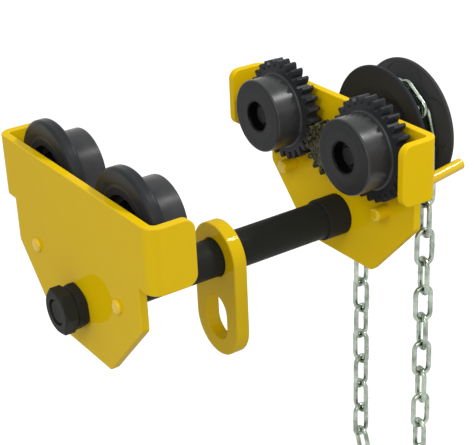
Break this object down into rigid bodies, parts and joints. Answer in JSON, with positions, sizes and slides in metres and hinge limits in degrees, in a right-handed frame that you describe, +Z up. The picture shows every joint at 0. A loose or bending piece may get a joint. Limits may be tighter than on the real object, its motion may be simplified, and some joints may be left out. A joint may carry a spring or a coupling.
{
  "type": "geared beam trolley",
  "caption": "Hand-geared trolley that rolls on a beam's lower flange: bent side plates on a load bar, flanged and toothed wheels, a hand chain wheel and a swinging suspension lug.",
  "frame": {"origin": "middle of the rolling plane: the top of the beam's lower flange, midway between the side plates and between the wheels", "axes": "+X across the beam toward the geared side, +Y along the beam toward the rear wheels, +Z up"},
  "size_m": [0.362, 0.24, 0.4675],
  "materials": {
    "yellow_paint": "gloss yellow paint",
    "black_oxide": "black oxide, satin",
    "black_paint": "satin black paint",
    "wheel_iron": "dark grey, semi-gloss",
    "greased_steel": "machined steel under grease",
    "zinc": "zinc plated",
    "bearing_steel": "ground steel",
    "bronze": "plain bearing bronze",
    "seal_rubber": "moulded rubber"
  },
  "bodies": {
    "frame": {"idler_side_plate": "yellow_paint", "geared_side_plate": "yellow_paint", "load_bar": "black_oxide", "load_bar_collar": "black_oxide", "idler_bar_nut": "black_oxide", "idler_bar_locknut": "black_oxide", "geared_bar_nut": "black_oxide", "idler_guard_pins": "yellow_paint", "geared_guard_pins": "yellow_paint", "shaft_housing": "yellow_paint", "shaft_inner_bush": "bronze", "shaft_outer_bush": "bronze", "front_chain_guide": "yellow_paint", "rear_chain_guide": "yellow_paint", "hand_chain_wrap": "zinc", "hand_chain_rear_strand": "zinc", "hand_chain_bight": "zinc", "hand_chain_front_strand": "zinc", "idler_front_axle": "bearing_steel", "idler_front_axle_circlip": "black_oxide", "idler_front_inner_race": "bearing_steel", "idler_rear_axle": "bearing_steel", "idler_rear_axle_circlip": "black_oxide", "idler_rear_inner_race": "bearing_steel", "geared_front_axle": "bearing_steel", "geared_front_axle_circlip": "black_oxide", "geared_front_inner_race": "bearing_steel", "geared_rear_axle": "bearing_steel", "geared_rear_axle_circlip": "black_oxide", "geared_rear_inner_race": "bearing_steel"},
    "hand_drive": {"pinion_shaft": "greased_steel", "drive_key": "bearing_steel", "hand_wheel_hub": "black_paint", "hand_wheel_inner_disc": "black_paint", "hand_wheel_outer_disc": "black_paint", "hand_wheel_rivets": "zinc", "hand_wheel_washer": "zinc", "hand_wheel_nut": "zinc"},
    "idler_front_roller": {"idler_front_wheel": "wheel_iron", "idler_front_wheel_circlip": "black_oxide", "idler_front_outer_race": "bearing_steel", "idler_front_bearing_seals": "seal_rubber"},
    "idler_rear_roller": {"idler_rear_wheel": "wheel_iron", "idler_rear_wheel_circlip": "black_oxide", "idler_rear_outer_race": "bearing_steel", "idler_rear_bearing_seals": "seal_rubber"},
    "geared_front_roller": {"geared_front_wheel": "wheel_iron", "geared_front_wheel_circlip": "black_oxide", "geared_front_outer_race": "bearing_steel", "geared_front_bearing_seals": "seal_rubber"},
    "geared_rear_roller": {"geared_rear_wheel": "wheel_iron", "geared_rear_wheel_circlip": "black_oxide", "geared_rear_outer_race": "bearing_steel", "geared_rear_bearing_seals": "seal_rubber"},
    "idler_front_ball_set": {"idler_front_bearing_balls": "bearing_steel"},
    "idler_rear_ball_set": {"idler_rear_bearing_balls": "bearing_steel"},
    "geared_front_ball_set": {"geared_front_bearing_balls": "bearing_steel"},
    "geared_rear_ball_set": {"geared_rear_bearing_balls": "bearing_steel"},
    "lug": {"suspension_lug": "yellow_paint"}
  },
  "joints": [
    {"name": "hand_drive_spin", "type": "hinge", "parent": "frame", "child": "hand_drive", "pos_m": [0.19, 0, 0.01329], "axis": [1, 0, 0], "continuous": true},
    {"name": "idler_front_spin", "type": "hinge", "parent": "frame", "child": "idler_front_roller", "pos_m": [-0.103, -0.06, 0.0325], "axis": [1, 0, 0], "continuous": true},
    {"name": "idler_front_ball_orbit", "type": "hinge", "parent": "frame", "child": "idler_front_ball_set", "pos_m": [-0.103, -0.06, 0.0325], "axis": [1, 0, 0], "continuous": true},
    {"name": "idler_rear_spin", "type": "hinge", "parent": "frame", "child": "idler_rear_roller", "pos_m": [-0.103, 0.06, 0.0325], "axis": [1, 0, 0], "continuous": true},
    {"name": "idler_rear_ball_orbit", "type": "hinge", "parent": "frame", "child": "idler_rear_ball_set", "pos_m": [-0.103, 0.06, 0.0325], "axis": [1, 0, 0], "continuous": true},
    {"name": "geared_front_spin", "type": "hinge", "parent": "frame", "child": "geared_front_roller", "pos_m": [0.103, -0.06, 0.0325], "axis": [1, 0, 0], "continuous": true},
    {"name": "geared_front_ball_orbit", "type": "hinge", "parent": "frame", "child": "geared_front_ball_set", "pos_m": [0.103, -0.06, 0.0325], "axis": [1, 0, 0], "continuous": true},
    {"name": "geared_rear_spin", "type": "hinge", "parent": "frame", "child": "geared_rear_roller", "pos_m": [0.103, 0.06, 0.0325], "axis": [1, 0, 0], "continuous": true},
    {"name": "geared_rear_ball_orbit", "type": "hinge", "parent": "frame", "child": "geared_rear_ball_set", "pos_m": [0.103, 0.06, 0.0325], "axis": [1, 0, 0], "continuous": true},
    {"name": "lug_swing", "type": "hinge", "parent": "frame", "child": "lug", "pos_m": [0, 0, -0.0525], "axis": [1, 0, 0], "range_deg": [-80, 80]}
  ],
  "couplings": [
    {"joint": "idler_front_ball_orbit", "follows": "idler_front_spin", "ratio": 0.6193},
    {"joint": "idler_rear_ball_orbit", "follows": "idler_rear_spin", "ratio": 0.6193},
    {"joint": "geared_front_spin", "follows": "hand_drive_spin", "ratio": -0.5},
    {"joint": "geared_front_ball_orbit", "follows": "hand_drive_spin", "ratio": -0.30965},
    {"joint": "geared_rear_spin", "follows": "hand_drive_spin", "ratio": -0.5},
    {"joint": "geared_rear_ball_orbit", "follows": "hand_drive_spin", "ratio": -0.30965}
  ]
}
